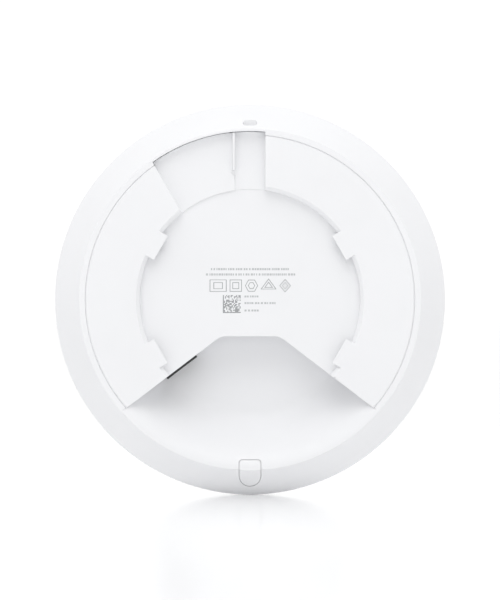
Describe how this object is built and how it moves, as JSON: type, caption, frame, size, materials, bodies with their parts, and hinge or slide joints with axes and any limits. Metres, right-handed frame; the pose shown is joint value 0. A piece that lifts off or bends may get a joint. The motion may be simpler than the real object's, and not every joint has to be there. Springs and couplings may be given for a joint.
{
  "type": "ceiling access point",
  "caption": "Round white wireless access point with a domed front, a twist-lock mounting back, a cable bay with a network port and a removable cable exit plug.",
  "frame": {"origin": "centre of the mounting face, on the twist lock's axis", "axes": "-Y points out of the mounting face towards the wall or ceiling, +Y towards the dome, +Z towards the release slot, away from the cable bay, +X to the right as seen facing the mounting side"},
  "size_m": [0.206, 0.046, 0.206],
  "materials": {
    "housing_white": "fine matt moulded plastic",
    "dome_white": "fine matt moulded plastic",
    "light_guide": "milky translucent",
    "black_plastic": "fine matt",
    "chip_black": "moulded epoxy",
    "jack_steel": "tinned sheet",
    "contact_gold": "plated",
    "board_green": "solder mask",
    "screw_steel": "zinc plated",
    "aluminium": "as cast or rolled",
    "shield_tin": "tinned sheet",
    "thermal_pad": "soft",
    "capacitor_sleeve": "shrink sleeve",
    "inductor_grey": "pressed iron powder",
    "winding_tape": "polyester tape",
    "antenna_tin": "tinned sheet",
    "lead_sheath": "extruded",
    "ribbon_film": "polyimide film",
    "led_lens": "clear resin",
    "ceramic": "fired ceramic",
    "switch_metal": "plated cap"
  },
  "bodies": {
    "access_point": {"back_housing": "housing_white", "mount_plate": "housing_white", "port_frame": "black_plastic", "ethernet_jack_shell": "jack_steel", "ethernet_jack_body": "black_plastic", "ethernet_contacts": "contact_gold", "reset_switch": "switch_metal", "front_dome": "dome_white", "front_cap": "dome_white", "status_light_ring": "light_guide", "light_shroud": "housing_white", "light_board": "board_green", "status_leds": "led_lens", "light_ribbon": "ribbon_film", "light_connector": "ceramic", "ethernet_magnetics": "chip_black", "network_chip": "chip_black", "main_board": "board_green", "poe_transformer": "winding_tape", "rectifiers": "chip_black", "capacitors": "capacitor_sleeve", "power_inductors": "inductor_grey", "processor": "chip_black", "memory_chips": "chip_black", "flash_chip": "chip_black", "crystals": "switch_metal", "heat_spreader": "aluminium", "thermal_pads": "thermal_pad", "plate_pad": "thermal_pad", "spreader_screws": "screw_steel", "radio_chips": "chip_black", "amplifier_chips": "chip_black", "radio_shields": "shield_tin", "antenna_plate": "aluminium", "spacers": "screw_steel", "stack_screws": "screw_steel", "plate_screws": "screw_steel", "low_band_antennas": "antenna_tin", "mid_band_antennas": "antenna_tin", "high_band_antennas": "antenna_tin", "antenna_leads": "lead_sheath", "antenna_connectors": "contact_gold", "short_range_antenna": "ceramic"},
    "reset_plunger": {"reset_button": "housing_white", "reset_switch_stem": "black_plastic"},
    "exit_plug": {"cable_exit_plug": "housing_white"}
  },
  "joints": [
    {"name": "reset_press", "type": "slide", "parent": "access_point", "child": "reset_plunger", "axis": [0.606, 0, 0.7955], "range_m": [0, 0.0005], "stiffness_N_per_m": 1000},
    {"name": "plug_pull", "type": "slide", "parent": "access_point", "child": "exit_plug", "axis": [0, -1, 0], "range_m": [0, 0.016]}
  ]
}
